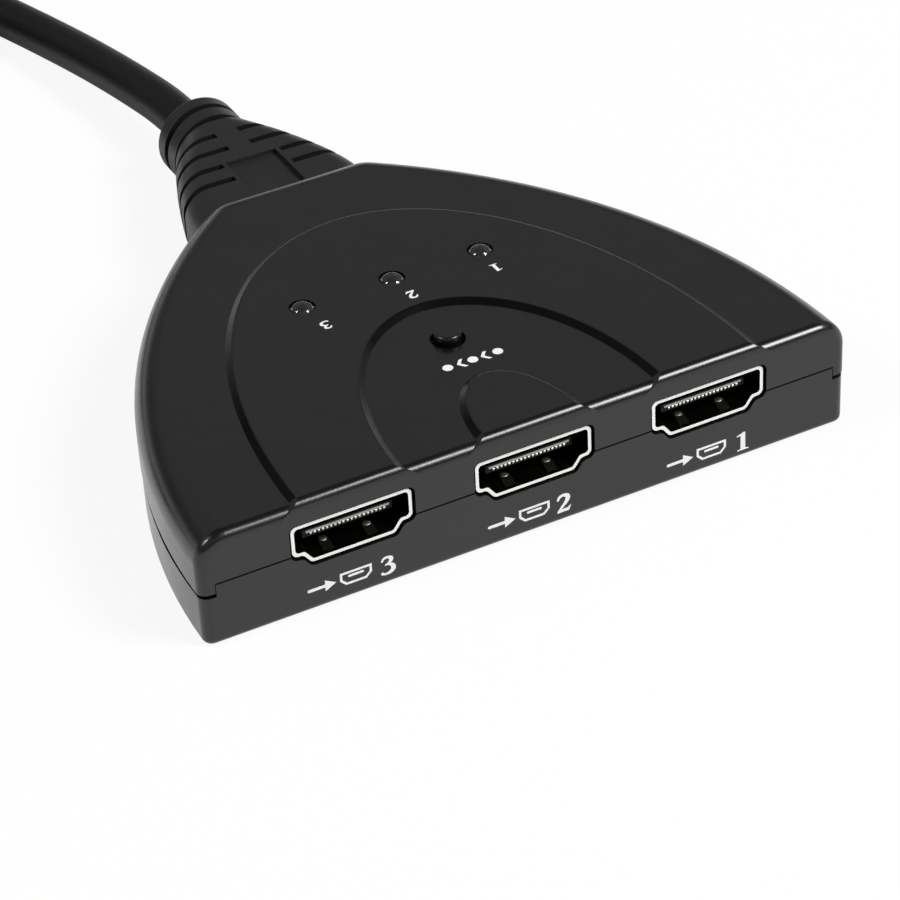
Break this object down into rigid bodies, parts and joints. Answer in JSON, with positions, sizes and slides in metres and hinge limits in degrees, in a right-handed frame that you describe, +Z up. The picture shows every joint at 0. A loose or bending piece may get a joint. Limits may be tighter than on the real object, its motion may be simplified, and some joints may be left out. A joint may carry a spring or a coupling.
{
  "type": "video input switch box",
  "caption": "Flat fan-shaped switch box with video sockets along its front, status lamps, a selector button and a captive output cable with a plug.",
  "frame": {"origin": "on the table, under the middle of the case and its strain relief together", "axes": "+X to the right seen from the sockets' side, +Y from the socket face to the cable, +Z up"},
  "size_m": [0.127, 0.1861, 0.0156],
  "materials": {
    "case_plastic": "moulded, satin gloss",
    "boot_plastic": "soft moulded, low sheen",
    "bright_metal": "bright nickel plate",
    "gold_metal": "gold plate",
    "dark_insulator": "moulded",
    "lamp_lens": "clear cast",
    "board_laminate": "lacquered laminate",
    "ceramic": "fired",
    "screw_steel": "zinc plated",
    "wire_jacket": "extruded"
  },
  "bodies": {
    "case": {"top_cover": "case_plastic", "bottom_case": "case_plastic", "strain_relief": "boot_plastic", "cable_stub": "boot_plastic", "cable_lead": "boot_plastic", "cable_coil": "boot_plastic", "cable_tail": "boot_plastic", "plug_body": "boot_plastic", "socket_shell_1": "bright_metal", "socket_shell_2": "bright_metal", "socket_shell_3": "bright_metal", "plug_shell": "bright_metal", "lamp_leads": "bright_metal", "switch_legs": "bright_metal", "switch_cover": "bright_metal", "chip_pins": "bright_metal", "socket_contacts_1": "gold_metal", "socket_contacts_2": "gold_metal", "socket_contacts_3": "gold_metal", "plug_contacts": "gold_metal", "socket_insulator_1": "dark_insulator", "socket_insulator_2": "dark_insulator", "socket_insulator_3": "dark_insulator", "plug_core": "dark_insulator", "switch_body": "dark_insulator", "selector_chip": "dark_insulator", "guard_chips": "dark_insulator", "lamp_1": "lamp_lens", "lamp_2": "lamp_lens", "lamp_3": "lamp_lens", "circuit_board": "board_laminate", "capacitors": "ceramic", "case_screws": "screw_steel", "cable_wires": "wire_jacket"},
    "button": {"select_button": "case_plastic", "switch_plunger": "dark_insulator"}
  },
  "joints": [
    {"name": "button_press", "type": "slide", "parent": "case", "child": "button", "axis": [0, 0, -1], "range_m": [0, 0.0003], "stiffness_N_per_m": 4000, "springref_m": -0.0002}
  ]
}
